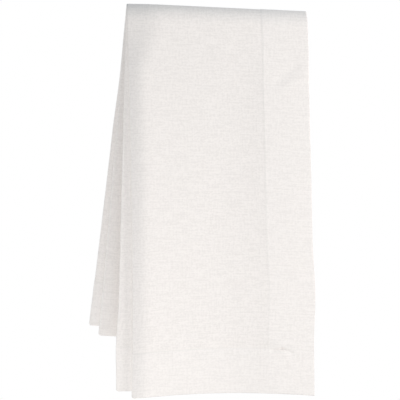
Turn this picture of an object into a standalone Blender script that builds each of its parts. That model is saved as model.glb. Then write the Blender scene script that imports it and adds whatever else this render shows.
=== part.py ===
"""A hemmed linen tablecloth, folded lengthwise in four and hung over a rail.

Units are metres, and the tables' are millimetres. +X runs along the rail, -Y is the front and +Z is up. The
origin is on the hang line: the middle of the rail's top, where the innermost layer of the cloth rests. The
rail isn't modelled.

The cloth is one sheet. Read across the rail it is one back-and-forth section of four layers:

    outer edge -> layer 1 -> fold A -> layer 2 -> fold M -> layer 3 -> fold B -> layer 4 -> inner edge

Folds A and B are on the left, and fold M and both edges are on the right. Layer 1 lies outermost all the way
and layer 4 rests on the rail. The outer pair of layers crosses the rail a little further askew than the inner
pair, so the folded edges fan out below it.
"""

import math

import bmesh
import bpy
from mathutils import Vector

MM = 0.001
FRONT, BACK = -1, 1

# The hollow under the top fold has the radius of the rail that carries the cloth.
RAIL_R = 0.016
SHEET_T = 0.0010
HEM_T = 0.0015
HEM_W = 0.0565
HEM_STEP = 0.0015

# The edges and folds: the place of each along the rail (x) at the crest and at its two ends, how far its run
# bows towards +X between them, and how far below the rail's top it ends.
LINES = (
    # name          x_crest  x_front  x_back  bow_front  bow_back  drop_front  drop_back
    ("outer_edge",    113.3,   146.3,   84.0,       1.4,      1.2,      473.6,     417.0),
    ("fold_a",       -112.4,   -81.0, -141.3,       3.1,      0.8,      488.6,     402.8),
    ("fold_m",        109.2,   130.3,   86.6,       1.5,      0.8,      470.0,     419.0),
    ("fold_b",       -112.0,  -101.2, -128.2,       0.0,      0.0,      481.5,     414.5),
    ("inner_edge",    112.8,   124.2,   97.3,       0.0,      0.0,      471.0,     421.0),
)  # fmt: skip

# Where a line strays towards +X from that run, centred a share of the way from the crest to the end.
STRAYS = (
    # line          side   share  half_share  out
    ("outer_edge", FRONT,  0.100,      0.120,  0.9),
    ("outer_edge", FRONT,  0.735,      0.140,  2.4),
    ("fold_a",      BACK,  0.236,      0.170,  1.3),
    ("fold_b",     FRONT,  0.880,      0.120, -1.8),
)  # fmt: skip

# The layers: the height of each one's middle surface over the rail at the crest, its distance out from the
# rail's sides at the two ends, and how far its ends are drawn up between its two lines.
LAYERS = (
    # crest  front  back  rise_front  rise_back
    (6.75,    9.5,  9.5,        5.4,       2.0),
    (4.75,    6.6,  6.6,        4.0,       2.0),
    (2.75,    3.7,  3.6,        1.0,       1.0),
    (0.75,    0.9,  0.8,        2.0,       1.0),
)  # fmt: skip
SPREAD_L = 0.35
CORNER_RISE = 0.0016

# Near fold A the whole stack bends back, over the rail and on both drops. Over the rail the bend is wider, with
# an even slope past its first part. It takes its form on the drops over the stretch in which it settles.
CURL_TOP, CURL_W_TOP, CURL_EASES_TOP = 0.0090, 0.048, 0.6
CURL_DEPTH = {FRONT: 0.0070, BACK: 0.0055}
CURL_W = {FRONT: 0.022, BACK: 0.030}
CURL_TAIL = 0.003
CURL_SETTLES = 0.070

# Broad soft swells of the whole stack, out from the rail's sides. A negative rise is a hollow. They set in below
# the rail.
SWELLS = (
    # side   x  down  half_w  half_h  rise
    (FRONT, 112, 260,     66,    190,  4.0),
    (FRONT, 112, 455,     50,     80,  2.2),
    (BACK,  -20, 230,     95,    160,  2.4),
    (BACK,  -90, 320,     34,    110, -1.2),
)  # fmt: skip
SWELL_STARTS = 0.070

# Where the section has points, from each layer's left fold, before its right edge or its hem.
NEAR_FOLD = (0.0, 4.0, 9.0, 15.0, 21.0, 27.0, 34.0, 44.0, 60.0)
TO_EDGE = (92.0, 130.0)
TO_FOLD = (95.0, 135.0, 180.0)
FOLD_STEPS = 4
CREST_STEPS = 12
FRONT_ROWS = 12
BACK_ROWS = 10
ROWS_CROWD = 1.4


def smooth(share):
    """Eases from 0 to 1 as share goes from 0 to 1."""
    share = min(max(share, 0.0), 1.0)
    return share * share * (3.0 - 2.0 * share)


def between(start, end, share):
    return start + (end - start) * share


def arch(share):
    """0 at both ends and 1 in the middle."""
    return 4.0 * share * (1.0 - share)


def metres(values):
    return [value * MM for value in values]


class Line:
    """An edge or a fold of the cloth, over the rail and down both drops."""

    def __init__(self, name, x_crest, x_front, x_back, bow_front, bow_back, drop_front, drop_back):
        self.strays = [(side, *places, out * MM) for line, side, *places, out in STRAYS if line == name]
        self.x_crest = x_crest
        self.x_end = {FRONT: x_front, BACK: x_back}
        self.bow = {FRONT: bow_front, BACK: bow_back}
        self.drop = {FRONT: drop_front, BACK: drop_back}

    def x(self, side, turn, fall):
        """Its place along the rail where the cloth has turned so far from the crest and then fallen so far."""
        arc = RAIL_R + MM * sum(crest for crest, *_ in LAYERS) / len(LAYERS)
        whole = arc * math.pi / 2 + self.drop[side] - RAIL_R
        share = (arc * turn + fall) / whole
        x = between(self.x_crest, self.x_end[side], share) + self.bow[side] * arch(share)
        for where, centre, half, out in self.strays:
            if where == side:
                x += out * smooth(1.0 - abs(share - centre) / half)
        return x


class Layer:
    """One of the cloth's four layers."""

    def __init__(self, crest, front, back, rise_front, rise_back):
        self.crest = crest
        self.end = {FRONT: front, BACK: back}
        self.rise = {FRONT: rise_front, BACK: rise_back}

    def lift(self, side, fall):
        """How far its middle surface stands out from the rail."""
        return between(self.crest, self.end[side], smooth(fall / SPREAD_L))


class Row:
    """A station along the cloth: on the rail at an angle from the crest, or on a drop.

    On a drop it keeps its distance from the end in the hem, and past the hem it is a share of what is left.
    """

    def __init__(self, side, turn=math.pi / 2, from_end=None, share=0.0):
        self.side, self.turn, self.from_end, self.share = side, turn, from_end, share

    def fall(self, drop):
        """How far it lies below the rail's axis, where the cloth leaves the rail."""
        length = drop - RAIL_R
        if self.from_end is None:
            return self.share * (length - HEM_W - HEM_STEP)
        return length - self.from_end

    def in_hem(self):
        return self.from_end is not None and self.from_end <= HEM_W


LINE = {name: Line(name, *metres(values)) for name, *values in LINES}
LAYER = [Layer(*metres(values)) for values in LAYERS]


def drop_rows(side, count):
    """The rows of one drop, from its end up to the rail, closer together near the rail."""
    ends = [Row(side, from_end=d) for d in (0.0, HEM_W / 2, HEM_W, HEM_W + HEM_STEP)]
    return ends + [Row(side, share=(k / count) ** ROWS_CROWD) for k in range(count - 1, -1, -1)]


def all_rows():
    """Every row, from the front end over the rail to the back end."""
    half = CREST_STEPS // 2
    turns = [math.pi / 2 * k / half for k in range(half - 1, 0, -1)]
    front = drop_rows(FRONT, FRONT_ROWS) + [Row(FRONT, turn=t) for t in turns]
    back = drop_rows(BACK, BACK_ROWS) + [Row(BACK, turn=t) for t in turns]
    return [*front, Row(FRONT, turn=0.0), *reversed(back)]


def curl(side, x, turn, fall):
    """How far the stack is bent back near fold A and past it."""
    settled = smooth(fall / CURL_SETTLES)
    width = between(CURL_W_TOP, CURL_W[side], settled)
    depth = between(CURL_TOP, CURL_DEPTH[side], settled)
    eases = between(CURL_EASES_TOP, 1.0, settled)
    slope = depth / (width * (1.0 - eases / 2))
    inside = x - LINE["fold_a"].x(side, turn, fall)
    if inside < 0.0:
        return depth + slope * CURL_TAIL * (1.0 - math.exp(inside / CURL_TAIL))
    share = max(1.0 - inside / width, 0.0)
    return slope * width * (share**2 / (2 * eases) if share < eases else share - eases / 2)


def swell(side, x, down):
    """How far the stack swells out from the rail's side."""
    out = 0.0
    for where, *values in SWELLS:
        centre_x, centre_down, half_w, half_h, rise = metres(values)
        if where == side:
            away = math.hypot((x - centre_x) / half_w, (down - centre_down) / half_h)
            out += rise * smooth(1.0 - away / 1.6)
    return out


def place(row, x, lift, drop, bent_at):
    """The point of the cloth at a row, a place along the rail and a height out from the rail.

    It is bent back as the stack is at the place bent_at, so that a fold keeps its round form.
    """
    fall = row.fall(drop)
    out = (RAIL_R + lift) * math.sin(row.turn)
    if fall > 0.0:
        out += swell(row.side, x, RAIL_R + fall) * smooth(fall / SWELL_STARTS)
    back = curl(row.side, bent_at, row.turn, fall)
    return Vector((x, row.side * out + back, (RAIL_R + lift) * math.cos(row.turn) - RAIL_R - fall))


def columns(width, has_edge):
    """The distances from a layer's left fold at which the section has points."""
    if has_edge:
        hem = (width - HEM_W - HEM_STEP, width - HEM_W, width - HEM_W / 2)
        return [*metres(NEAR_FOLD), *metres(TO_EDGE), *hem, width]
    return [*metres(NEAR_FOLD), *metres(TO_FOLD), width]


def fold_radius(row, line, outer, inner):
    """The radius of the fold between two layers, at a row."""
    fall = row.fall(line.drop[row.side])
    return (outer.lift(row.side, fall) - inner.lift(row.side, fall)) / 2


def layer_points(row, layer, left, right, trims, has_edge):
    """A layer's points at one row, from its left fold to its right side, each with whether it is in a hem."""
    side = row.side
    falls = [row.fall(line.drop[side]) for line in (left, right)]
    start = left.x(side, row.turn, falls[0]) + trims[0]
    width = right.x(side, row.turn, falls[1]) - trims[1] - start
    points = []
    for distance in columns(width, has_edge):
        share = distance / width
        drop = between(left.drop[side], right.drop[side], share) - layer.rise[side] * arch(share)
        x = start + distance
        point = place(row, x, layer.lift(side, row.fall(drop)), drop, x)
        points.append((point, row.in_hem() or has_edge and distance > width - HEM_W - HEM_STEP / 2))
    return points


def fold_points(row, line, outer, inner, outward):
    """The points round a fold at one row, between its two layers. outward is -1 on the left, 1 on the right."""
    radius = fold_radius(row, line, outer, inner)
    points = []
    for step in range(1, FOLD_STEPS):
        angle = math.pi * step / FOLD_STEPS
        drop = line.drop[row.side] - CORNER_RISE * math.sin(angle)
        fall = row.fall(drop)
        lifts = outer.lift(row.side, fall), inner.lift(row.side, fall)
        base = line.x(row.side, row.turn, fall) - outward * radius
        lift = between(*lifts, 0.5 - 0.5 * math.cos(angle))
        point = place(row, base + outward * radius * math.sin(angle), lift, drop, base)
        points.append((point, row.in_hem()))
    return points


def section(row):
    """The cloth's back-and-forth section at one row, from its outer edge to its inner edge."""
    outer_edge, fold_a, fold_m, fold_b, inner_edge = LINE.values()
    radii = [fold_radius(row, line, *pair) for line, *pair in zip((fold_a, fold_m, fold_b), LAYER, LAYER[1:])]
    a, m, b = radii
    layer_1 = layer_points(row, LAYER[0], fold_a, outer_edge, (a, 0.0), True)
    layer_2 = layer_points(row, LAYER[1], fold_a, fold_m, (a, m), False)
    layer_3 = layer_points(row, LAYER[2], fold_b, fold_m, (b, m), False)
    layer_4 = layer_points(row, LAYER[3], fold_b, inner_edge, (b, 0.0), True)
    at_a = fold_points(row, fold_a, LAYER[0], LAYER[1], -1)
    at_m = fold_points(row, fold_m, LAYER[1], LAYER[2], 1)
    at_b = fold_points(row, fold_b, LAYER[2], LAYER[3], -1)
    return [*layer_1[::-1], *at_a, *layer_2, *at_m, *layer_3[::-1], *at_b, *layer_4]


def moved_on(chain, edges):
    """The verts of an extrusion of the chain, in the chain's order."""
    made = {vert for edge in edges for vert in edge.verts}
    return [next(e.other_vert(old) for e in old.link_edges if e.other_vert(old) in made) for old in chain]


def cloth_mesh(name):
    """The cloth's middle surface: its section at the front end, extruded from row to row over the rail."""
    shape = bmesh.new()
    hem = shape.verts.layers.deform.verify()
    chain, edges = [], []
    for row in all_rows():
        points = section(row)
        if chain:
            made = bmesh.ops.extrude_edge_only(shape, edges=edges)["geom"]
            edges = [item for item in made if isinstance(item, bmesh.types.BMEdge)]
            chain = moved_on(chain, edges)
        else:
            chain = [shape.verts.new() for _ in points]
            edges = [shape.edges.new(pair) for pair in zip(chain, chain[1:])]
        for vert, (point, hemmed) in zip(chain, points):
            vert.co = point
            vert[hem][0] = float(hemmed)
    bmesh.ops.recalc_face_normals(shape, faces=shape.faces)
    mesh = bpy.data.meshes.new(name)
    shape.to_mesh(mesh)
    shape.free()
    mesh.shade_smooth()
    return mesh


def linen():
    """Off-white slub linen."""
    material = bpy.data.materials.new("linen")
    material.use_nodes = True
    shader = material.node_tree.nodes["Principled BSDF"]
    shader.inputs["Base Color"].default_value = (0.87, 0.86, 0.83, 1.0)
    shader.inputs["Roughness"].default_value = 0.9
    shader.inputs["Metallic"].default_value = 0.0
    return material


def tablecloth():
    """The cloth as one solid: its middle surface, given the sheet's thickness and the hems' own."""
    mesh = cloth_mesh("tablecloth")
    mesh.materials.append(linen())
    cloth = bpy.data.objects.new("tablecloth", mesh)
    bpy.context.scene.collection.objects.link(cloth)
    cloth.vertex_groups.new(name="hem")
    thickness = cloth.modifiers.new("thickness", "SOLIDIFY")
    thickness.thickness = HEM_T
    thickness.offset = 0.0
    thickness.use_even_offset = True
    thickness.vertex_group = "hem"
    thickness.thickness_vertex_group = SHEET_T / HEM_T
    return cloth


def main():
    for thing in list(bpy.data.objects):
        bpy.data.objects.remove(thing, do_unlink=True)
    tablecloth()


main()
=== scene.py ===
"""A hemmed linen tablecloth, folded lengthwise in four and hung over a rail, in a plain white studio.

Units are metres, and the tables' are millimetres. +X runs along the rail, -Y is the front and +Z is up. The
origin is the middle of the rail's top, where the innermost layer of the cloth rests.

The cloth starts as a flat grid, cut to size. Its columns and rows lie closer together at the folds, at the
hems and over the rail. Each point then moves to its place in the folded, hung cloth.
"""

import math

import bmesh
import bpy
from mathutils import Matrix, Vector


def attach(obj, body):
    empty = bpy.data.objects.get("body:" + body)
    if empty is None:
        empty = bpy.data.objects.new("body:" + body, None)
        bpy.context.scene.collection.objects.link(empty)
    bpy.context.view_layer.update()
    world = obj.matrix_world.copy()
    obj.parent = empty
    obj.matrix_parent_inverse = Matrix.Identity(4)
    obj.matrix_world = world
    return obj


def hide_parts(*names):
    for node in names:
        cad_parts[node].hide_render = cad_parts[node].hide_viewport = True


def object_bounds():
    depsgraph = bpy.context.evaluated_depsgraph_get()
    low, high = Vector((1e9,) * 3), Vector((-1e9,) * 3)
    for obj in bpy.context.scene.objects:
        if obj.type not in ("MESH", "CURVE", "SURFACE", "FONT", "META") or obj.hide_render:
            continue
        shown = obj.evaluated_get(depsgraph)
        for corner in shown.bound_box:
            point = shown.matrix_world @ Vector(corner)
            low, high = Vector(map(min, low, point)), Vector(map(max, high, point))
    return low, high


bl_info = {
    "name": "Folded linen tablecloth",
    "version": (1, 0, 0),
    "blender": (4, 5, 0),
    "location": "View3D > Sidebar > Tablecloth",
    "description": "A hemmed linen tablecloth, folded in four and hung over a rail, in a white studio",
    "category": "Add Mesh",
}

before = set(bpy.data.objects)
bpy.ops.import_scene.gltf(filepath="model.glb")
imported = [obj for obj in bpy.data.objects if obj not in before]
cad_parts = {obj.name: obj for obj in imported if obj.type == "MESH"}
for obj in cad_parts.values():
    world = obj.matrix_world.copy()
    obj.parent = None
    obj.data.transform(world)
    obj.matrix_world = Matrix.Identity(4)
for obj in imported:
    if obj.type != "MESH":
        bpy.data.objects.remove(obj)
solid_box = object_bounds()

MM = 0.001
FRONT, BACK = -1, 1

# The edges and folds: the place of each along the rail (x) at the crest and at its two ends, how far its run
# bows towards +X between them, and how far below the rail's top it ends.
LINES = (
    # name          x_crest  x_front  x_back  bow_front  bow_back  drop_front  drop_back
    ("outer_edge",    113.3,   146.3,   84.0,       1.4,      1.2,      473.6,     417.0),
    ("fold_a",       -112.4,   -81.0, -141.3,       3.1,      0.8,      488.6,     402.8),
    ("fold_m",        109.2,   130.3,   86.6,       1.5,      0.8,      470.0,     419.0),
    ("fold_b",       -112.0,  -101.2, -128.2,       0.0,      0.0,      481.5,     414.5),
    ("inner_edge",    112.8,   124.2,   97.3,       0.0,      0.0,      471.0,     421.0),
)  # fmt: skip

# Where a line strays towards +X from that run, centred a share of the way from the crest to the end.
STRAYS = (
    # line          side   share  half_share  out
    ("outer_edge", FRONT,  0.100,      0.120,  0.9),
    ("outer_edge", FRONT,  0.735,      0.140,  2.4),
    ("fold_a",      BACK,  0.236,      0.170,  1.3),
    ("fold_b",     FRONT,  0.880,      0.120, -1.8),
)  # fmt: skip

# The layers: the height of each one's middle surface over the rail at the crest, its distance out from the
# rail's sides at the two ends, and how far its ends are drawn up between its two lines.
LAYERS = (
    # crest  front  back  rise_front  rise_back
    (6.75,    9.5,  9.5,        5.4,       2.0),
    (4.75,    6.6,  6.6,        4.0,       2.0),
    (2.75,    3.7,  3.6,        1.0,       1.0),
    (0.75,    0.9,  0.8,        2.0,       1.0),
)  # fmt: skip

# How far below the rail's axis the layers lie as far out as at their ends, and how much higher than its line
# a fold ends at the outermost of its turn.
SPREAD_L = 0.35
CORNER_RISE = 0.0016

# Near fold A the whole stack bends back, over the rail and on both drops. Over the rail the bend is wider,
# with an even slope past its first part. It takes its form on the drops over the stretch in which it settles.
CURL_TOP, CURL_W_TOP, CURL_EASES_TOP = 0.0090, 0.048, 0.6
CURL_DEPTH = {FRONT: 0.0070, BACK: 0.0055}
CURL_W = {FRONT: 0.022, BACK: 0.030}
CURL_TAIL = 0.003
CURL_SETTLES = 0.070

# How far below the rail's axis the swells, the nip and what follows the hems' lines have their full height.
SWELL_STARTS = 0.070

# The outermost layer stands out along its side hem's line, eased over a width further in. It is drawn in
# along its end hem's line, over a width above that line and one below it.
RIDGE, RIDGE_W = 0.0010, 0.040
GROOVE, GROOVE_ABOVE, GROOVE_BELOW = 0.0006, 0.010, 0.004

# Close to fold A the two outer layers also nip in on the inner ones, by a share of the room between them.
NIP_SHARE = 0.42
NIP_W = 0.016

# Broad soft swells of the whole stack, out from the rail's sides. A negative rise is a hollow. Each one ends
# at its reach times its half sizes.
SWELL_REACH = 1.6
SWELLS = (
    # side   x  down  half_w  half_h  rise
    (FRONT, 112, 260,     66,    190,  4.0),
    (FRONT, 112, 455,     50,     80,  2.2),
    (BACK,  -20, 230,     95,    160,  2.4),
    (BACK,  -90, 320,     34,    110, -1.2),
)  # fmt: skip

# Soft creases of the outermost layer alone, each from one point to another.
CREASES = (
    # side   x0  down0   x1  down1  half_w  rise
    (FRONT,  80,    84, 103,    66,    8.0, -0.70),
    (FRONT,  92,    93, 114,    74,   13.0,  0.70),
    (FRONT,  20,   418,  86,   415,    9.0, -0.90),
    (FRONT,  90,   420, 104,   417,    3.2, -1.90),
    (FRONT, 104,   417, 116,   422,    3.4, -1.10),
    (FRONT, 105,   423, 107,   424,    6.0,  0.45),
    (BACK,  -70,   150, -30,   110,   12.0,  0.45),
    (BACK,   20,   300,  60,   265,   14.0, -0.45),
)  # fmt: skip

# The cut cloth, from the rail's side down each drop and across one layer.
CUT_DROP = {FRONT: 0.4605, BACK: 0.3990}
CUT_LAYER = 0.2262

# The stretch at each edge and end of the cloth that keeps its cut length: the hem and this much more.
KEPT_PAST_HEM = 0.002

# The grid's plain step, and the one across the three hidden layers. Then its closer places in millimetres:
# from the fold that a layer is cut from, from the next fold, on both sides of a hem's line, more of them at
# the front's end hem, and from an edge or an end.
TRUE_STEP, HIDDEN_STEP = 0.0046, 0.0092
NEAR_FOLD = (0.0, 1.0, 2.4, 4.2, 6.5, 9.5, 13.0, 17.0, 21.5)
NEAR_NEXT_FOLD = NEAR_FOLD[:5]
NEAR_LINE = (-7.0, -3.5, -1.6, -0.6, 0.6, 1.6, 3.5, 7.0)
NEAR_END_LINE = (-9.0, -7.0, -5.3, -3.9, -2.7, -1.6, -0.6, 0.6, 1.6, 2.7, 4.0, 6.0, 9.0)
NEAR_EDGE = (3.5, 1.2, 0.0)

# The share of the step that the outer side hem has, the steps round a fold, the cut cloth that a turn of one
# radian takes there, and the steps over the rail.
HEM_STEP_SHARE = 0.6
FOLD_STEPS = 8
FOLD_CUT = 0.001
CREST_STEPS = 24

# What the weave's ribs are made of: how long each part's streaks are across and along the cloth, in slub
# lengths and slub widths, and the part's share.
RIBS = (
    # across_lengths  across_widths  along_lengths  along_widths  share
    (1.0,             0.0,           0.0,           1.0,          0.6),
    (1 / 7,           0.0,           0.0,           1.0,          0.8),
    (0.0,             1.0,           1 / 2,         0.0,          0.5),
)  # fmt: skip

# The colour turns from plain linen to slub between these heights of the ribs, whose middle is at a half.
PLAIN_UNDER, SLUB_OVER = 0.30, 0.74

# A hem's line of stitches: how far it reaches to each side, how deep the stitches' dents are at a stitch on a
# side hem and on an end hem, and how much shallower they are between two stitches. The dents are a bump and
# also painted shade, a darker colour along the line, deeper and darker on the end hem. The hem's own white
# sets in over a width to each side of the line.
STITCH_REACH = 0.0013
SIDE_DENT_AND_SHADE, END_DENT_AND_SHADE, BETWEEN_STITCHES = 0.45, 1.0, 0.35
HEM_BLENDS = 0.0005

# The softboxes: the width of each, its place, and the height on the cloth that it is turned to.
KEY_BOX = 0.8, (1.31, -0.61, 0.43), -0.25
FILL_BOX = 0.5, (-0.415, -0.784, -0.606), -0.45
SOFTBOX_COLOUR = (1.0, 0.965, 0.945)

# The room's light, and how much stronger it is from each way.
ROOM_COLOUR = (0.84, 0.93, 1.0, 1.0)
ROOM_GRADE = (-0.03, 0.10, 0.0)
WHITE = (1.0, 1.0, 1.0, 1.0)

# The floor turns from matt to the room's white between two distances from the cloth. It shines less on the
# cloth than it looks.
FLOOR_RADIUS = 8.0
FLOOR_FADES = 0.05, 0.5
FLOOR_SHINE = 0.74

# The camera's lens and sensor in millimetres, and its place along the rail and in height.
LENS, SENSOR = 171.3, 36.0
CAMERA_X, CAMERA_Z = -0.0079, -0.2366


def linear(code):
    """An sRGB hex colour as linear red, green and blue."""
    channels = [int(code[k : k + 2], 16) / 255 for k in (0, 2, 4)]
    return tuple(c / 12.92 if c <= 0.04045 else ((c + 0.055) / 1.055) ** 2.4 for c in channels)


def smooth(share):
    """Eases from 0 to 1 as share goes from 0 to 1."""
    share = min(max(share, 0.0), 1.0)
    return share * share * (3.0 - 2.0 * share)


def between(start, end, share):
    return start + (end - start) * share


def arch(share):
    """0 at both ends and 1 in the middle."""
    return 4.0 * share * (1.0 - share)


def metres(values):
    return [value * MM for value in values]


def stretched(cut, whole, real, fixed):
    """Where a cut distance lies once its whole is real long. The far end's fixed stretch keeps its length."""
    if whole - cut <= fixed:
        return real - (whole - cut)
    return cut * (real - fixed) / (whole - fixed)


class TableclothSizes(bpy.types.PropertyGroup):
    """The sizes of the cloth."""

    rail_radius: bpy.props.FloatProperty(
        name="Rail radius", description="Radius of the hollow under the top fold",
        default=0.016, min=0.005, max=0.05, unit="LENGTH",
    )  # fmt: skip
    sheet_thickness: bpy.props.FloatProperty(
        name="Sheet thickness", description="Thickness of one layer of linen",
        default=0.0006, min=0.0002, max=0.001, precision=4, unit="LENGTH",
    )  # fmt: skip
    hem_thickness: bpy.props.FloatProperty(
        name="Hem thickness", description="Thickness of a hem, which is three layers pressed together",
        default=0.0012, min=0.0004, max=0.002, precision=4, unit="LENGTH",
    )  # fmt: skip
    side_hem: bpy.props.FloatProperty(
        name="Side hem", description="From a side edge of the cloth to its hem's line of stitches",
        default=0.0576, min=0.01, max=0.1, precision=4, unit="LENGTH",
    )  # fmt: skip
    end_hem: bpy.props.FloatProperty(
        name="End hem", description="From an end of the cloth to its hem's line of stitches",
        default=0.0555, min=0.01, max=0.1, precision=4, unit="LENGTH",
    )  # fmt: skip


class LinenFinish(bpy.types.PropertyGroup):
    """The colours and the weave of the linen."""

    colour: bpy.props.FloatVectorProperty(
        name="Colour", description="The linen's own off-white", subtype="COLOR",
        default=linear("F8F3EF"), min=0.0, max=1.0,
    )  # fmt: skip
    slub_colour: bpy.props.FloatVectorProperty(
        name="Slub colour", description="The thicker, slightly darker stretches of yarn", subtype="COLOR",
        default=linear("EFEAE6"), min=0.0, max=1.0,
    )  # fmt: skip
    hem_colour: bpy.props.FloatVectorProperty(
        name="Hem colour", description="What a hem tends to, as its three layers let less light through",
        subtype="COLOR", default=linear("FCF9F6"), min=0.0, max=1.0,
    )  # fmt: skip
    hem_whiteness: bpy.props.FloatProperty(
        name="Hem whiteness", description="How far a hem goes towards the hem colour",
        default=0.10, min=0.0, max=1.0, subtype="FACTOR",
    )  # fmt: skip
    slub_length: bpy.props.FloatProperty(
        name="Slub length", description="Length of a thick stretch of yarn",
        default=0.022, min=0.002, max=0.1, unit="LENGTH",
    )  # fmt: skip
    slub_width: bpy.props.FloatProperty(
        name="Slub width", description="Width of the ribs that the slubs make",
        default=0.0020, min=0.0005, max=0.01, precision=4, unit="LENGTH",
    )  # fmt: skip
    weave_height: bpy.props.FloatProperty(
        name="Weave height", description="Height of the ribs",
        default=0.00010, min=0.0, max=0.001, precision=5, unit="LENGTH",
    )  # fmt: skip
    stitch_length: bpy.props.FloatProperty(
        name="Stitch length", description="Spacing of the stitches along a hem",
        default=0.0036, min=0.001, max=0.01, precision=4, unit="LENGTH",
    )  # fmt: skip


class StudioSettings(bpy.types.PropertyGroup):
    """The floor, the light and the camera."""

    floor_colour: bpy.props.FloatVectorProperty(
        name="Floor colour", description="The pale floor", subtype="COLOR",
        default=linear("F4F3F1"), min=0.0, max=1.0,
    )  # fmt: skip
    floor_gap: bpy.props.FloatProperty(
        name="Floor gap", description="How far the floor lies below the cloth",
        default=0.45, min=0.01, max=1.0, unit="LENGTH",
    )  # fmt: skip
    key_power: bpy.props.FloatProperty(
        name="Key power", description="Power of the large softbox to the right",
        default=15.4, min=0.0, max=500.0, unit="POWER",
    )  # fmt: skip
    fill_power: bpy.props.FloatProperty(
        name="Fill power", description="Power of the small softbox close by, low to the front left",
        default=3.02, min=0.0, max=500.0, unit="POWER",
    )  # fmt: skip
    room_strength: bpy.props.FloatProperty(
        name="Room strength", description="Strength of the soft light that the room gives from all sides",
        default=0.489, min=0.0, max=5.0,
    )  # fmt: skip
    camera_distance: bpy.props.FloatProperty(
        name="Camera distance", description="From the camera to the rail",
        default=2.4, min=0.5, max=10.0, unit="LENGTH",
    )  # fmt: skip
    camera_roll: bpy.props.FloatProperty(
        name="Camera roll", description="How far the camera is turned about its view",
        default=math.radians(-2.73), subtype="ANGLE",
    )  # fmt: skip


class Line:
    """An edge or a fold of the cloth, over the rail and down both drops."""

    def __init__(self, name, x_crest, x_front, x_back, bow_front, bow_back, drop_front, drop_back):
        self.is_edge = name.endswith("edge")
        self.strays = [(side, *places, out * MM) for line, side, *places, out in STRAYS if line == name]
        self.x_crest = x_crest
        self.x_end = {FRONT: x_front, BACK: x_back}
        self.bow = {FRONT: bow_front, BACK: bow_back}
        self.drop = {FRONT: drop_front, BACK: drop_back}


class Layer:
    """One of the cloth's four layers, between its left and its right line."""

    def __init__(self, left, right, crest, front, back, rise_front, rise_back):
        self.left, self.right = left, right
        self.crest = crest
        self.end = {FRONT: front, BACK: back}
        self.rise = {FRONT: rise_front, BACK: rise_back}

    def lift(self, side, fall):
        """How far its middle surface stands out from the rail."""
        return between(self.crest, self.end[side], smooth(fall / SPREAD_L))


class Row:
    """A line across the cut cloth: on the rail, at an angle from the crest, or so far down a cut drop."""

    def __init__(self, side, turn=math.pi / 2, cut=0.0):
        self.side, self.turn, self.cut = side, turn, cut
        self.from_end = CUT_DROP[side] - cut if turn >= math.pi / 2 else math.inf


class Column:
    """A line along the cut cloth: in a layer, cut so far from its left fold, or at an angle round a fold."""

    def __init__(self, across, layer=None, cut=0.0, fold=None, angle=0.0):
        self.across = across
        self.layer, self.cut = layer, cut
        self.fold, self.angle = fold, angle
        self.from_edge = CUT_LAYER - cut if layer is not None and layer.right.is_edge else math.inf


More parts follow.
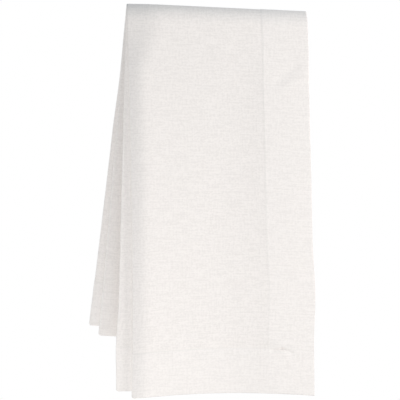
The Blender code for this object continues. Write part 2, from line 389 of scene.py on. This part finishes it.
class HungCloth:
    """The cloth's shape: where each point of the cut cloth lies once it is folded and hung."""

    def __init__(self, sizes):
        self.sizes = sizes
        self.rail = sizes.rail_radius
        self.line = {name: Line(name, *metres(values)) for name, *values in LINES}
        edge, a, m, b, inner = self.line.values()
        self.folds = a, m, b
        sides = ((a, edge), (a, m), (b, m), (b, inner))
        self.layers = [Layer(*pair, *metres(values)) for pair, values in zip(sides, LAYERS)]
        self.arc = self.rail + sum(layer.crest for layer in self.layers) / len(self.layers)

    def x(self, line, side, turn, fall):
        """The place along the rail of a line where the cloth has turned and fallen so far."""
        whole = self.arc * math.pi / 2 + line.drop[side] - self.rail
        share = (self.arc * turn + fall) / whole
        x = between(line.x_crest, line.x_end[side], share) + line.bow[side] * arch(share)
        for where, centre, half, out in line.strays:
            if where == side:
                x += out * smooth(1.0 - abs(share - centre) / half)
        return x

    def curl(self, side, x, turn, fall):
        """How far the stack is bent back near fold A and past it."""
        settled = smooth(fall / CURL_SETTLES)
        width = between(CURL_W_TOP, CURL_W[side], settled)
        depth = between(CURL_TOP, CURL_DEPTH[side], settled)
        eases = between(CURL_EASES_TOP, 1.0, settled)
        slope = depth / (width * (1.0 - eases / 2))
        inside = x - self.x(self.line["fold_a"], side, turn, fall)
        if inside < 0.0:
            return depth + slope * CURL_TAIL * (1.0 - math.exp(inside / CURL_TAIL))
        share = max(1.0 - inside / width, 0.0)
        return slope * width * (share**2 / (2 * eases) if share < eases else share - eases / 2)

    def nip(self, side, x, fall):
        """How far the two outer layers come in towards the inner ones, near fold A."""
        inside = x - self.x(self.line["fold_a"], side, math.pi / 2, fall)
        room = self.layers[1].lift(side, fall) - self.layers[2].lift(side, fall)
        return NIP_SHARE * room * max(1.0 - inside / NIP_W, 0.0) ** 2 * smooth(fall / SWELL_STARTS)

    def swell(self, side, x, down):
        """How far the stack swells out from the rail's side."""
        out = 0.0
        for where, *values in SWELLS:
            centre_x, centre_down, half_w, half_h, rise = metres(values)
            if where == side:
                away = math.hypot((x - centre_x) / half_w, (down - centre_down) / half_h)
                out += rise * smooth(1.0 - away / SWELL_REACH)
        return out

    def crease(self, side, x, down):
        """How far the creases lift the outermost layer."""
        out = 0.0
        point = Vector((x, down))
        for where, *values in CREASES:
            x0, down0, x1, down1, half_w, rise = metres(values)
            if where == side:
                start, along = Vector((x0, down0)), Vector((x1 - x0, down1 - down0))
                share = min(max((point - start).dot(along) / along.length_squared, 0.0), 1.0)
                out += rise * smooth(1.0 - (point - start - along * share).length / half_w)
        return out

    def ridge(self, row, column, fall):
        """How far the outermost layer stands out at its side hem's line, less its groove at its end hem's."""
        beside, above = column.from_edge - self.sizes.side_hem, row.from_end - self.sizes.end_hem
        ridge = 1.0 - beside / RIDGE_W if beside > 0.0 else 1.0 + beside / self.sizes.side_hem
        groove = 1.0 - above / (GROOVE_ABOVE if above > 0.0 else -GROOVE_BELOW)
        out = RIDGE * max(ridge, 0.0) ** 2 - GROOVE * max(groove, 0.0) ** 2
        return out * smooth(fall / SWELL_STARTS)

    def place(self, row, x, lift, drop):
        """The point of the cloth at a row, a place along the rail and a height out from the rail."""
        fall = self.fall(row, drop)
        out = (self.rail + lift) * math.sin(row.turn)
        if fall > 0.0:
            out += self.swell(row.side, x, self.rail + fall) * smooth(fall / SWELL_STARTS)
        back = self.curl(row.side, x, row.turn, fall)
        return Vector((x, row.side * out + back, (self.rail + lift) * math.cos(row.turn) - self.rail - fall))

    def fall(self, row, drop):
        """How far a row lies below the rail's axis, on a line that ends at this drop."""
        if row.turn < math.pi / 2:
            return 0.0
        kept = self.sizes.end_hem + KEPT_PAST_HEM
        return stretched(row.cut, CUT_DROP[row.side], drop - self.rail, kept)

    def radius(self, row, fold):
        """The radius of a fold at a row: half of what lies between its two layers."""
        fall = self.fall(row, self.folds[fold].drop[row.side])
        outer, inner = (layer.lift(row.side, fall) for layer in self.layers[fold : fold + 2])
        return (outer - inner) / 2

    def in_layer(self, row, column):
        """The point of a layer at a row and a column."""
        layer, side = column.layer, row.side
        place = self.layers.index(layer)
        trims = {line: self.radius(row, k) for k, line in enumerate(self.folds) if k in (place - 1, place)}
        left, right = (self.x(line, side, row.turn, self.fall(row, line.drop[side]))
                       for line in (layer.left, layer.right))  # fmt: skip
        left += trims.get(layer.left, 0.0)
        right -= trims.get(layer.right, 0.0)
        kept = self.sizes.side_hem + KEPT_PAST_HEM if layer.right.is_edge else 0.0
        distance = stretched(column.cut, CUT_LAYER, right - left, kept)
        share = distance / (right - left)
        drop = between(layer.left.drop[side], layer.right.drop[side], share) - layer.rise[side] * arch(share)
        fall = self.fall(row, drop)
        x, lift = left + distance, layer.lift(side, fall)
        if place < 2:
            lift -= self.nip(side, x, fall)
        if place == 0:
            lift += self.ridge(row, column, fall) + self.crease(side, x, self.rail + fall)
        return self.place(row, x, lift, drop)

    def in_fold(self, row, column):
        """The point round a fold at a row and a column."""
        line, radius = self.folds[column.fold], self.radius(row, column.fold)
        outward = 1 if line is self.line["fold_m"] else -1
        drop = line.drop[row.side] - CORNER_RISE * math.sin(column.angle)
        fall = self.fall(row, drop)
        outer, inner = (layer.lift(row.side, fall) for layer in self.layers[column.fold : column.fold + 2])
        x = self.x(line, row.side, row.turn, fall) + outward * radius * (math.sin(column.angle) - 1.0)
        lift = between(outer, inner, 0.5 - 0.5 * math.cos(column.angle))
        if column.fold == 0:
            lift -= self.nip(row.side, x, fall)
        return self.place(row, x, lift, drop)

    def point(self, row, column):
        return self.in_fold(row, column) if column.layer is None else self.in_layer(row, column)


def steps(start, end, size):
    """Evenly spaced distances past start and before end, about size apart."""
    count = max(round((end - start) / size), 1)
    return [between(start, end, k / count) for k in range(1, count)]


def cut_rows(cloth):
    """The rows of the cut cloth with the distance of each from the front end."""
    drops = {}
    for side in (FRONT, BACK):
        line = CUT_DROP[side] - cloth.sizes.end_hem
        near = [line + d * MM for d in (NEAR_END_LINE if side == FRONT else NEAR_LINE)]
        ends = [CUT_DROP[side] - d * MM for d in NEAR_EDGE]
        cuts = [0.0, *steps(0.0, near[0], TRUE_STEP), *near, *steps(near[-1], ends[0], TRUE_STEP), *ends]
        drops[side] = [Row(side, cut=cut) for cut in cuts]
    turns = [math.pi / 2 * k / (CREST_STEPS // 2) for k in range(1, CREST_STEPS // 2)]
    quarter = cloth.arc * math.pi / 2
    crest = CUT_DROP[FRONT] + quarter
    rows = [(CUT_DROP[FRONT] - row.cut, row) for row in reversed(drops[FRONT])]
    rows += [(crest - cloth.arc * turn, Row(FRONT, turn=turn)) for turn in reversed(turns)]
    rows += [(crest + cloth.arc * turn, Row(BACK, turn=turn)) for turn in [0.0, *turns]]
    rows += [(crest + quarter + row.cut, row) for row in drops[BACK]]
    return rows


def cut_columns(cloth):
    """The columns of the cut cloth, from its outer edge to its inner edge."""
    columns, across = [], 0.0
    for place, layer in enumerate(cloth.layers):
        size = TRUE_STEP if place == 0 else HIDDEN_STEP
        near = metres(NEAR_FOLD)
        if layer.right.is_edge:
            line = [CUT_LAYER - cloth.sizes.side_hem + d * MM for d in NEAR_LINE]
            ends = [CUT_LAYER - d * MM for d in NEAR_EDGE]
            in_hem = steps(line[-1], ends[0], HEM_STEP_SHARE * size if place == 0 else size)
            cuts = [*near, *steps(near[-1], line[0], size), *line, *in_hem, *ends]
        else:
            ends = [CUT_LAYER - d * MM for d in reversed(NEAR_NEXT_FOLD)]
            cuts = [*near, *steps(near[-1], ends[0], size), *ends]
        if place % 2 == 0:
            columns += [Column(across + CUT_LAYER - cut, layer=layer, cut=cut) for cut in reversed(cuts)]
        else:
            columns += [Column(across + cut, layer=layer, cut=cut) for cut in cuts]
        across += CUT_LAYER
        if place < len(cloth.folds):
            turns = [math.pi * k / FOLD_STEPS for k in range(1, FOLD_STEPS)]
            columns += [Column(across + FOLD_CUT * turn, fold=place, angle=turn) for turn in turns]
            across += FOLD_CUT * math.pi
    return columns


def cloth_mesh(cloth):
    """The cloth's middle surface: a flat grid, cut to size, whose points are moved to their places."""
    rows, columns = cut_rows(cloth), cut_columns(cloth)
    shape = bmesh.new()
    counts = len(columns) - 1, len(rows) - 1
    bmesh.ops.create_grid(shape, x_segments=counts[0], y_segments=counts[1], size=0.5)
    hem = shape.verts.layers.deform.verify()
    cut = shape.loops.layers.uv.new("cut")
    sizes = cloth.sizes
    for vert in shape.verts:
        column = columns[round((vert.co.x + 0.5) * counts[0])]
        along, row = rows[round((vert.co.y + 0.5) * counts[1])]
        vert[hem][0] = float(row.from_end < sizes.end_hem or column.from_edge < sizes.side_hem)
        for loop in vert.link_loops:
            loop[cut].uv = (column.across, along)
        vert.co = cloth.point(row, column)
    bmesh.ops.recalc_face_normals(shape, faces=shape.faces)
    mesh = bpy.data.meshes.new("tablecloth")
    shape.to_mesh(mesh)
    shape.free()
    mesh.shade_smooth()
    return mesh, (columns[-1].across, rows[-1][0])


def add_node(tree, kind, settings=None, inputs=None):
    """Adds a node with its settings. Each input is a value, or the socket that it is linked from."""
    node = tree.nodes.new(kind)
    for name, value in (settings or {}).items():
        setattr(node, name, value)
    for name, value in (inputs or {}).items():
        if isinstance(value, bpy.types.NodeSocket):
            tree.links.new(value, node.inputs[name])
        else:
            node.inputs[name].default_value = value
    return node


def yarn_ribs(tree, finish, cut):
    """The ribs that uneven yarn makes: noise drawn out along the threads, its middle at a half."""
    weave = 0.5 - 0.5 * sum(share for *_, share in RIBS)
    for across_lengths, across_widths, along_lengths, along_widths, share in RIBS:
        across = across_lengths * finish.slub_length + across_widths * finish.slub_width
        along = along_lengths * finish.slub_length + along_widths * finish.slub_width
        spread = add_node(tree, "ShaderNodeVectorMath", {"operation": "MULTIPLY"},
                          {0: cut, 1: (1 / across, 1 / along, 1.0)})  # fmt: skip
        noise = add_node(tree, "ShaderNodeTexNoise", {"noise_dimensions": "2D"},
                         {"Vector": spread.outputs["Vector"], "Scale": 1.0, "Detail": 1.0})  # fmt: skip
        weave = add_node(tree, "ShaderNodeMath", {"operation": "MULTIPLY_ADD"},
                         {0: noise.outputs["Fac"], 1: share, 2: weave}).outputs[0]  # fmt: skip
    return weave


def hem_stitches(tree, finish, sizes, cut, flat):
    """How far a point lies further in than the hems' lines, and the stitches' dents along those lines: a bump
    that is also painted shade.
    """
    place = add_node(tree, "ShaderNodeSeparateXYZ", inputs={"Vector": cut}).outputs
    inside, dents_and_shade = [], []
    for across, along, whole, width, dent_and_shade_depth in (
        ("X", "Y", flat[0], sizes.side_hem, SIDE_DENT_AND_SHADE),
        ("Y", "X", flat[1], sizes.end_hem, END_DENT_AND_SHADE),
    ):  # fmt: skip
        rim = add_node(tree, "ShaderNodeMath", {"operation": "PINGPONG"}, {0: place[across], 1: whole / 2})
        line = add_node(tree, "ShaderNodeMath", {"operation": "SUBTRACT"}, {0: rim.outputs[0], 1: width})
        off = add_node(tree, "ShaderNodeMath", {"operation": "ABSOLUTE"}, {0: line.outputs[0]})
        near = add_node(tree, "ShaderNodeMapRange", {"interpolation_type": "SMOOTHSTEP"},
                        {"Value": off.outputs[0], "From Max": STITCH_REACH,
                         "To Min": 1.0, "To Max": 0.0})  # fmt: skip
        beat = add_node(tree, "ShaderNodeMath", {"operation": "PINGPONG"},
                        {0: place[along], 1: finish.stitch_length / 2})  # fmt: skip
        stitch = add_node(tree, "ShaderNodeMapRange", {"interpolation_type": "SMOOTHSTEP"},
                          {"Value": beat.outputs[0], "From Max": finish.stitch_length / 2,
                           "To Min": dent_and_shade_depth, "To Max": dent_and_shade_depth - BETWEEN_STITCHES})  # fmt: skip
        # The depth of the stitches' dents, which also darkens the colour: painted shade along the line.
        dent_and_shade = add_node(tree, "ShaderNodeMath", {"operation": "MULTIPLY"},
                        {0: near.outputs[0], 1: stitch.outputs[0]})  # fmt: skip
        inside.append(line.outputs[0])
        dents_and_shade.append(dent_and_shade.outputs[0])
    further = add_node(tree, "ShaderNodeMath", {"operation": "MINIMUM"}, {0: inside[0], 1: inside[1]})
    deepest_dent_and_shade = add_node(tree, "ShaderNodeMath", {"operation": "MAXIMUM"}, {0: dents_and_shade[0], 1: dents_and_shade[1]})
    return further.outputs[0], deepest_dent_and_shade.outputs[0]


def woven_linen(finish, sizes, flat):
    """Bleached off-white linen in plain weave.

    Its yarn is uneven, so thick stretches, or slubs, show as fine ribs, more along the weft than the warp.
    The real threads are 0.7 mm apart, too fine to show, so the ribs are drawn 2 mm apart.
    """
    material = bpy.data.materials.new("linen_plain_weave")
    material.use_nodes = True
    tree = material.node_tree
    cut = add_node(tree, "ShaderNodeUVMap", {"uv_map": "cut"}).outputs["UV"]
    weave = yarn_ribs(tree, finish, cut)
    inside, dent_and_shade = hem_stitches(tree, finish, sizes, cut, flat)

    height = add_node(tree, "ShaderNodeMath", {"operation": "MULTIPLY_ADD"}, {0: dent_and_shade, 1: -1.0, 2: weave})
    bump = add_node(tree, "ShaderNodeBump",
                    inputs={"Height": height.outputs[0], "Distance": finish.weave_height})  # fmt: skip

    # Slubs are a little darker. The stitches' dents are painted shade, a darker colour along the hems' lines.
    # Hems are a little whiter.
    slubs = add_node(tree, "ShaderNodeMapRange", inputs={
        "Value": weave, "From Min": PLAIN_UNDER, "From Max": SLUB_OVER})  # fmt: skip
    # Painted shade: the stitches' dents darken the colour along the hems' lines, as the slubs do.
    slubs_and_painted_shade = add_node(tree, "ShaderNodeMath", {"operation": "MAXIMUM"}, {0: slubs.outputs["Result"], 1: dent_and_shade})
    linen = add_node(tree, "ShaderNodeMix", {"data_type": "RGBA"},
                     {"Factor": slubs_and_painted_shade.outputs[0], "A": (*finish.colour, 1.0),
                      "B": (*finish.slub_colour, 1.0)})  # fmt: skip
    hem = add_node(tree, "ShaderNodeMapRange", inputs={
        "Value": inside, "From Min": -HEM_BLENDS, "From Max": HEM_BLENDS,
        "To Min": finish.hem_whiteness, "To Max": 0.0})  # fmt: skip
    colour = add_node(tree, "ShaderNodeMix", {"data_type": "RGBA"},
                      {"Factor": hem.outputs["Result"], "A": linen.outputs["Result"],
                       "B": (*finish.hem_colour, 1.0)})  # fmt: skip

    # Linen is matt: its gloss is low and rough.
    shader = tree.nodes["Principled BSDF"]
    shader.inputs["Roughness"].default_value = 0.9
    shader.inputs["IOR"].default_value = 1.45
    shader.inputs["Specular IOR Level"].default_value = 0.05
    tree.links.new(colour.outputs["Result"], shader.inputs["Base Color"])
    tree.links.new(bump.outputs["Normal"], shader.inputs["Normal"])
    return material


class TABLECLOTH_OT_cloth(bpy.types.Operator):
    """Cut, hem, fold and hang the linen tablecloth"""

    bl_idname = "tablecloth.cloth"
    bl_label = "Tablecloth"

    def execute(self, context):
        sizes, finish = context.scene.tablecloth_sizes, context.scene.linen_finish
        mesh, flat = cloth_mesh(HungCloth(sizes))
        mesh.materials.append(woven_linen(finish, sizes, flat))
        cloth = bpy.data.objects.new("linen_tablecloth", mesh)
        context.scene.collection.objects.link(cloth)
        cloth.vertex_groups.new(name="hem")
        thickness = cloth.modifiers.new("thickness", "SOLIDIFY")
        thickness.thickness = sizes.hem_thickness
        thickness.offset = 0.0
        thickness.use_even_offset = True
        thickness.vertex_group = "hem"
        thickness.thickness_vertex_group = sizes.sheet_thickness / sizes.hem_thickness
        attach(cloth, "root")
        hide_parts("tablecloth")
        return {"FINISHED"}


class TABLECLOTH_OT_studio(bpy.types.Operator):
    """Set out the pale floor, the soft light and the camera"""

    bl_idname = "tablecloth.studio"
    bl_label = "Studio"

    def execute(self, context):
        scene, settings = context.scene, context.scene.studio_settings
        scene.view_settings.view_transform = "Standard"
        self.floor(scene, settings)
        self.room(scene, settings)
        self.softbox(scene, "key_softbox", settings.key_power, *KEY_BOX)
        self.softbox(scene, "fill_softbox", settings.fill_power, *FILL_BOX)
        self.camera(scene, settings)
        return {"FINISHED"}

    def floor(self, scene, settings):
        """A matt pale floor that fades to the room's white."""
        shape = bmesh.new()
        bmesh.ops.create_circle(shape, cap_ends=True, segments=96, radius=FLOOR_RADIUS)
        bmesh.ops.translate(shape, verts=shape.verts, vec=(0, 0, solid_box[0].z - settings.floor_gap))
        mesh = bpy.data.meshes.new("floor")
        shape.to_mesh(mesh)
        shape.free()
        floor = bpy.data.objects.new("floor", mesh)
        scene.collection.objects.link(floor)
        material = bpy.data.materials.new("matt_white_floor")
        material.use_nodes = True
        tree = material.node_tree
        place = add_node(tree, "ShaderNodeTexCoord").outputs["Object"]
        flat = add_node(tree, "ShaderNodeVectorMath", {"operation": "MULTIPLY"}, {0: place, 1: (1, 1, 0)})
        away = add_node(tree, "ShaderNodeVectorMath", {"operation": "LENGTH"}, {0: flat.outputs["Vector"]})
        fade = add_node(tree, "ShaderNodeMapRange", {"interpolation_type": "SMOOTHSTEP"},
                        {"Value": away.outputs["Value"], "From Min": FLOOR_FADES[0],
                         "From Max": FLOOR_FADES[1]})  # fmt: skip
        matt = add_node(tree, "ShaderNodeBsdfDiffuse", inputs={"Color": (*settings.floor_colour, 1.0)})
        seen = add_node(tree, "ShaderNodeLightPath").outputs["Is Camera Ray"]
        shine = add_node(tree, "ShaderNodeMapRange", inputs={
            "Value": seen, "To Min": FLOOR_SHINE, "To Max": 1.0})  # fmt: skip
        white = add_node(tree, "ShaderNodeEmission", inputs={
            "Color": WHITE, "Strength": shine.outputs["Result"]})  # fmt: skip
        mixed = add_node(tree, "ShaderNodeMixShader", inputs={
            "Fac": fade.outputs["Result"], 1: matt.outputs[0], 2: white.outputs[0]})  # fmt: skip
        tree.links.new(mixed.outputs[0], tree.nodes["Material Output"].inputs["Surface"])
        mesh.materials.append(material)

    def room(self, scene, settings):
        """White walls, seen as plain white. Their light is a little stronger from behind and the left."""
        scene.world = bpy.data.worlds.new("white_room")
        scene.world.use_nodes = True
        tree = scene.world.node_tree
        towards = add_node(tree, "ShaderNodeTexCoord").outputs["Generated"]
        graded = add_node(tree, "ShaderNodeVectorMath", {"operation": "DOT_PRODUCT"},
                          {0: towards, 1: ROOM_GRADE})  # fmt: skip
        strength = add_node(tree, "ShaderNodeMath", {"operation": "ADD"},
                            {0: graded.outputs["Value"], 1: settings.room_strength})  # fmt: skip
        light = add_node(tree, "ShaderNodeBackground", inputs={
            "Color": ROOM_COLOUR, "Strength": strength.outputs[0]})  # fmt: skip
        wall = add_node(tree, "ShaderNodeBackground", inputs={"Color": WHITE, "Strength": 1.0})
        seen = add_node(tree, "ShaderNodeLightPath").outputs["Is Camera Ray"]
        mixed = add_node(tree, "ShaderNodeMixShader", inputs={
            "Fac": seen, 1: light.outputs[0], 2: wall.outputs[0]})  # fmt: skip
        tree.links.new(mixed.outputs[0], tree.nodes["World Output"].inputs["Surface"])

    def softbox(self, scene, name, power, size, place, aim):
        """A square softbox at a place, turned to the cloth at a height."""
        light = bpy.data.lights.new(name, "AREA")
        light.shape = "SQUARE"
        light.size = size
        light.energy = power
        light.color = SOFTBOX_COLOUR
        box = bpy.data.objects.new(name, light)
        scene.collection.objects.link(box)
        box.location = place
        box.rotation_euler = (Vector((0, 0, aim)) - box.location).to_track_quat("-Z", "Y").to_euler()
        box.visible_camera = False

    def camera(self, scene, settings):
        """Straight in front of the cloth, a little off level."""
        lens = bpy.data.cameras.new("camera")
        lens.sensor_width = SENSOR
        lens.lens = LENS
        camera = bpy.data.objects.new("camera", lens)
        scene.collection.objects.link(camera)
        camera.location = (CAMERA_X, -settings.camera_distance, CAMERA_Z)
        camera.rotation_euler = (math.radians(90), settings.camera_roll, 0.0)
        scene.camera = camera


class TABLECLOTH_PT_panel(bpy.types.Panel):
    """The tablecloth's sizes and finishes, and its operators"""

    bl_label = "Tablecloth"
    bl_idname = "TABLECLOTH_PT_panel"
    bl_space_type = "VIEW_3D"
    bl_region_type = "UI"
    bl_category = "Tablecloth"

    def draw(self, context):
        for settings in ("tablecloth_sizes", "linen_finish", "studio_settings"):
            group = getattr(context.scene, settings)
            box = self.layout.box()
            for name in group.__annotations__:
                box.prop(group, name)
        self.layout.operator(TABLECLOTH_OT_cloth.bl_idname)
        self.layout.operator(TABLECLOTH_OT_studio.bl_idname)


GROUPS = {
    "tablecloth_sizes": TableclothSizes,
    "linen_finish": LinenFinish,
    "studio_settings": StudioSettings,
}
CLASSES = (*GROUPS.values(), TABLECLOTH_OT_cloth, TABLECLOTH_OT_studio, TABLECLOTH_PT_panel)


def register():
    for made in CLASSES:
        bpy.utils.register_class(made)
    for name, group in GROUPS.items():
        setattr(bpy.types.Scene, name, bpy.props.PointerProperty(type=group))


def unregister():
    for name in GROUPS:
        delattr(bpy.types.Scene, name)
    for made in reversed(CLASSES):
        bpy.utils.unregister_class(made)


def main():
    register()
    bpy.ops.tablecloth.cloth()
    bpy.ops.tablecloth.studio()


if __name__ == "__main__":
    main()
